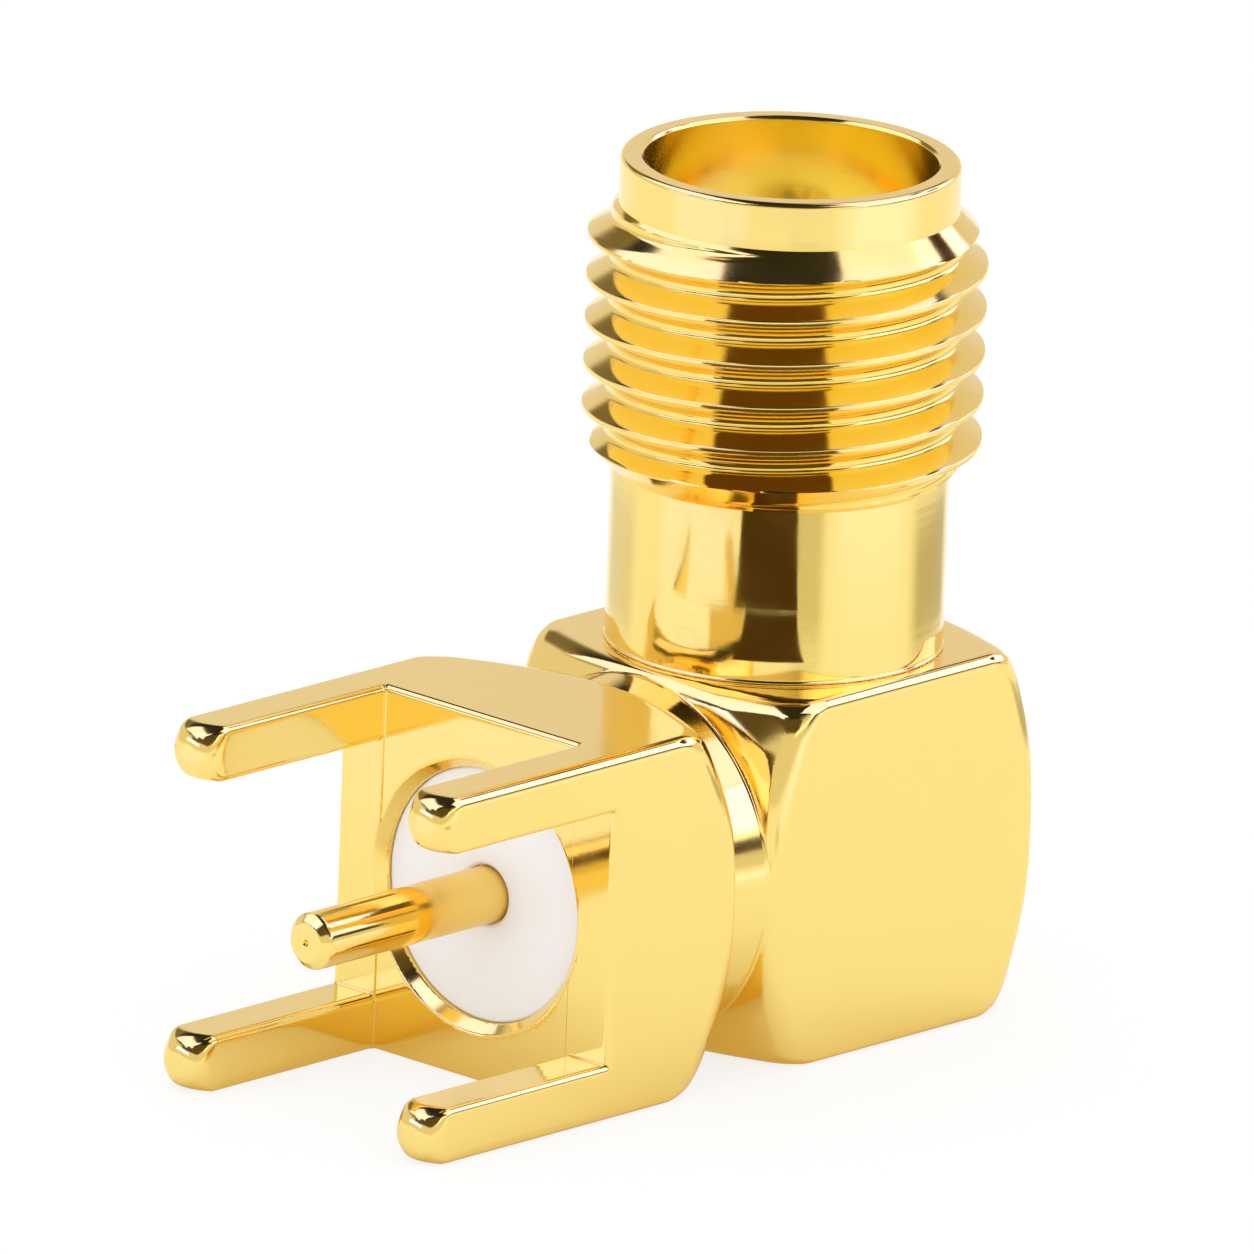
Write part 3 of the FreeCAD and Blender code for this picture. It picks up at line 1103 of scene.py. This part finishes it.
@dataclass(frozen=True)
class FloorCard:
    """A card that lies on the floor between two bearings and two distances from the barrel.

    Attributes:
        name: object name.
        bearings: first and last direction, in degrees from the camera's side towards its right.
        distances: near and far edge in mm.
        level: brightness, where 1 is white.
        tint: colour of its light.
        edge: share of the card over which its border fades.
        raised: height above the floor in mm.
    """

    name: str
    bearings: tuple[float, float]
    distances: tuple[float, float]
    level: float
    tint: Colour = WHITE
    edge: float = 0.05
    raised: float = 0.01

    def build(self, height: float, front: float) -> None:
        """Lay the card down.

        Args:
            height: height of the floor in mm.
            front: the camera's azimuth in degrees.
        """
        first, last = (math.radians(front + bearing) for bearing in self.bearings)
        work = bmesh.new()
        steps = 12
        sheet = work.loops.layers.uv.new("UVMap")
        rows = []
        for step in range(steps + 1):
            turn = first + (last - first) * step / steps
            rows.append([(work.verts.new((math.sin(turn) * far * MM,
                                          (Line.BARREL.value[1] - math.cos(turn) * far) * MM,
                                          (height + self.raised) * MM)), step / steps, share)
                         for share, far in enumerate(self.distances)])
        for near, following in zip(rows, rows[1:]):
            corners = (near[0], following[0], following[1], near[1])
            face = work.faces.new([vert for vert, _, _ in corners])
            for loop, (_, across, out) in zip(face.loops, corners):
                loop[sheet].uv = (across * 2 - 1, out * 2 - 1)
        work.normal_update()
        if any(face.normal.z < 0 for face in work.faces):
            bmesh.ops.reverse_faces(work, faces=work.faces)
        show_to_metal(finished(self.name, work),
                      glowing(self.name, self.level, self.tint, self.edge, True))


def glowing(name: str, level: float, tint: Colour, edge: float,
            by_sheet: bool = False) -> bpy.types.Material:
    """Build the material of a studio card with a soft border, which glows on its front only.

    Args:
        name: material name.
        level: brightness, where 1 is white.
        tint: colour of the light.
        edge: share of the card over which its border fades.
        by_sheet: lay the border out by the card's own sheet coordinates.

    Returns:
        The material.
    """
    made = bpy.data.materials.new(name)
    made.use_nodes = True
    tree = made.node_tree
    tree.nodes.clear()
    place = put(tree, "TexCoord").outputs["UV" if by_sheet else "Object"]
    parts = put(tree, "SeparateXYZ", {0: place})
    share = worked_out(tree, "SUBTRACT", 1.0, put(tree, "NewGeometry").outputs["Backfacing"])
    for axis in range(2):
        off = worked_out(tree, "ABSOLUTE", parts.outputs[axis])
        share = worked_out(tree, "MULTIPLY", share, ranged(tree, off, 1.0, 1.0 - edge, smooth=True))
    glow = put(tree, "Emission", {"Strength": level, "Color": tint})
    clear = put(tree, "BsdfTransparent")
    blend = put(tree, "MixShader", {0: share, 1: clear.outputs[0], 2: glow.outputs[0]})
    put(tree, "OutputMaterial", {"Surface": blend.outputs[0]})
    return made


def show_to_metal(card: bpy.types.Object, material: bpy.types.Material) -> None:
    """Stage a card that reflections show, but neither the camera nor the floor.

    Args:
        card: the card's object.
        material: its glowing material.
    """
    dress(card, material)
    card.visible_camera = False
    card.visible_diffuse = False
    card.visible_transmission = False
    card.visible_shadow = False


@dataclass
class Studio:
    """White floor, white surroundings and the cards that shape the reflections.

    Attributes:
        front: the camera's azimuth in degrees, from which the cards' bearings count.
        floor_height: height of the floor in mm.
        floor_size: side of the floor in mm.
        floor_tone: how pale the floor is.
        floor_roughness: its roughness.
        floor_glow: how much of the floor's look is its own even glow.
        daylight: strength of the world's light.
        sheen: how bright polished surfaces see the world near the horizon.
        ceiling: how bright they see it overhead.
        dusk: angles above the horizon between which the one gives way to the other.
        haze: colour in which they see it.
        near_shade: colour in which they see the floor close to the jack.
        shade_reach: how far from the jack that shade goes, in mm.
        open_floor: share of open sky above which the floor has no such shade.
        hidden_floor: share of open sky below which the shade is full.
        deep_bounces: bounces after which polished surfaces see plain daylight.
        aim: the point that the cards face, in mm.
        floor_cards: cards that lie over the floor.
        cards: cards that hang round the jack.
    """

    front: float
    floor_height: float = -3.0
    floor_size: float = 3000.0
    floor_tone: float = 0.96
    floor_roughness: float = 0.9
    floor_glow: float = 0.78
    daylight: float = 1.15
    sheen: float = 0.82
    ceiling: float = 0.02
    dusk: Point = (22.0, 36.0)
    haze: Colour = (1.0, 0.93, 0.88)
    near_shade: Colour = (0.62, 0.44, 0.18)
    shade_reach: float = 8.0
    open_floor: float = 0.86
    hidden_floor: float = 0.3
    deep_bounces: float = 3.5
    aim: tuple[float, float, float] = (0.0, 6.0, 4.0)
    floor_cards: tuple[FloorCard, ...] = (
        FloorCard("flag_near", (-15.5, 11.5), (2.9, 5.7), 0.07, DUSKY, 0.02, 6.3),
        FloorCard("flag", (-22.0, 12.0), (5.7, 12.5), 0.07, DUSKY, 0.02, 6.3),
        FloorCard("flag_high", (-35.0, 24.0), (3.3, 9.0), 0.12, DUSKY, 0.08, 9.05),
        FloorCard("floor_soft", (7.0, 34.0), (22.0, 38.0), 0.72, (1.0, 0.95, 0.85), 0.6),
        FloorCard("flag_far", (-44.0, 30.0), (12.5, 24.3), 0.17, (1.0, 0.65, 0.2), 0.02, 6.3),
        FloorCard("floor_bright", (24.0, 104.0), (14.0, 100.0), 1.25, (0.9, 0.98, 1.36), 0.7),
        FloorCard("floor_left_bright", (-90.0, -24.0), (14.0, 100.0), 1.1, (0.95, 1.0, 1.3), 0.4),
        FloorCard("floor_right_grey", (96.0, 158.0), (21.5, 32.0), 0.56, (1.0, 0.95, 0.8), 0.5),
        FloorCard("floor_left_grey", (-158.0, -104.0), (21.5, 32.0), 0.8, edge=0.5),
    )
    cards: tuple[Card, ...] = (
        Card("front_dark", -22.0, 31.0, 130.0, (48.0, 10.5), 0.1, (1.0, 0.7, 0.28)),
        Card("front_glow", -67.0, 14.0, 150.0, (23.0, 5.0), 1.1, (1.0, 1.3, 3.2)),
        Card("tip_white", -49.0, 47.0, 104.0, (13.0, 8.5), 1.6, (1.0, 0.94, 1.7)),
        Card("back_dark", 164.0, 34.5, 82.0, (9.0, 5.0), 0.06, DUSKY, 0.3),
        Card("right_glow", 45.0, 15.5, 150.0, (26.0, 3.0), 1.6),
        Card("sky_left", -94.0, 50.0, 110.0, (34.0, 19.0), 1.35, (1.0, 0.94, 1.7)),
        Card("sky_right", 80.0, 55.0, 110.0, (27.0, 14.0), 1.35, (1.0, 0.94, 1.7)),
        Card("right_white", 72.0, 29.0, 112.0, (20.0, 13.0), 1.6, (1.0, 1.0, 2.2)),
        Card("right_back", 117.0, 30.0, 95.0, (26.0, 16.0), 1.6, (1.0, 1.0, 2.2)),
        Card("back_grey", 162.0, 31.0, 97.0, (22.0, 17.0), 0.8, (1.0, 0.9, 0.85), 0.3),
        Card("right_strip", 84.0, 10.0, 94.0, (32.0, 4.0), 0.05, DUSKY),
        Card("sky_high", 118.0, 62.0, 108.0, (24.0, 13.0), 1.3, (1.0, 0.94, 1.7)),
        Card("right_dark", 122.0, 32.5, 84.0, (9.0, 5.5), 0.05, DUSKY, 0.3),
        Card("left_dark", -146.0, 27.0, 90.0, (17.0, 10.0), 0.2, (1.0, 0.8, 0.5), 0.5),
        Card("mouth_light", 137.1, 86.8, 13.0, (10.0, 10.0), 3.0, for_metal=False),
    )

    def build(self) -> None:
        """Lay the floor, light the scene and hang the cards."""
        self.lay_floor()
        self.light_world()
        for card in self.floor_cards:
            card.build(self.floor_height, self.front)
        for card in self.cards:
            card.build(Vector(self.aim), self.front)

    def lay_floor(self) -> None:
        """Lay the pale floor, which keeps the jack's shadow."""
        work = bmesh.new()
        bmesh.ops.create_grid(work, x_segments=1, y_segments=1, size=self.floor_size / 2 * MM)
        floor = finished("floor", work)
        floor.location = (0.0, Line.BARREL.value[1] * MM, self.floor_height * MM)
        made = bpy.data.materials.new("floor")
        made.use_nodes = True
        tree = made.node_tree
        shader = tree.nodes["Principled BSDF"]
        feed(tree, shader, {"Base Color": (self.floor_tone,) * 3,
                            "Roughness": self.floor_roughness, "Specular IOR Level": 0.0})
        path = put(tree, "LightPath").outputs
        open_sky = put(tree, "AmbientOcclusion", {"Distance": self.shade_reach * MM}, samples=4)
        covered = ranged(tree, open_sky.outputs["AO"], self.open_floor, self.hidden_floor,
                         high=path["Is Glossy Ray"], smooth=True)
        glow = put(tree, "Emission", {"Color": mixed(tree, covered, WHITE, self.near_shade)})
        seen = worked_out(tree, "MAXIMUM", path["Is Camera Ray"], path["Is Glossy Ray"])
        share = worked_out(tree, "MULTIPLY", seen, self.floor_glow)
        blend = put(tree, "MixShader", {0: share, 1: shader.outputs[0], 2: glow.outputs[0]})
        feed(tree, tree.nodes["Material Output"], {"Surface": blend.outputs[0]})
        floor.data.materials.append(made)

    def light_world(self) -> None:
        """Fill the world with soft white, a little less of it for the metal to show."""
        world = bpy.data.worlds.new("studio")
        bpy.context.scene.world = world
        world.use_nodes = True
        tree = world.node_tree
        light = tree.nodes["Background"]
        feed(tree, light, {"Strength": self.daylight, "Color": WHITE})
        place = put(tree, "TexCoord").outputs["Generated"]
        height = put(tree, "SeparateXYZ", {0: place}).outputs[2]
        low, high = (math.sin(math.radians(angle)) for angle in self.dusk)
        fall = ranged(tree, height, low, high, self.sheen, self.ceiling, smooth=True)
        shown = put(tree, "Background", {"Strength": fall, "Color": self.haze})
        path = put(tree, "LightPath").outputs
        mirrored = path["Is Glossy Ray"]
        for depth, most in (("Diffuse Depth", 0.5), ("Ray Depth", self.deep_bounces)):
            shallow = worked_out(tree, "LESS_THAN", path[depth], most)
            mirrored = worked_out(tree, "MULTIPLY", mirrored, shallow)
        blend = put(tree, "MixShader", {0: mirrored, 1: light.outputs[0], 2: shown.outputs[0]})
        feed(tree, tree.nodes["World Output"], {"Surface": blend.outputs[0]})


def dress(piece: bpy.types.Object, material: bpy.types.Material) -> None:
    """Give a mesh one material."""
    piece.data.materials.clear()
    piece.data.materials.append(material)


def main() -> None:
    """Build the jack piece by piece, then the studio round it."""
    logging.basicConfig(level=logging.INFO, format="%(name)s: %(message)s")
    bpy.context.scene.view_settings.view_transform = "Standard"
    body, barrel, pin, bush = ElbowBody(), ThreadedBarrel(), TailPin(), FootInsulator()
    pieces = (
        (body.build(), body.gold.material(), "elbow_body", "gold_body"),
        (barrel.build(), barrel.gold.material(), "threaded_barrel", "gold_barrel"),
        (pin.build(), pin.gold.material(), "tail_pin", "gold_pin"),
        (bush.build(), bush.ptfe.material(), "foot_insulator", "ptfe"),
    )
    for piece, material, node, slot in pieces:
        dress(piece, material)
        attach(piece, "root")
        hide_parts(node)
        LOG.info("%s: %d faces", piece.name, len(piece.data.polygons))
    dress(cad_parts["barrel_insulator"], Ptfe("ptfe_barrel").material())
    dress(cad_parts["socket_contact"], Gold("gold_contact").material())
    camera = Camera()
    camera.build()
    Studio(camera.azimuth).build()


if __name__ == "__main__":
    main()
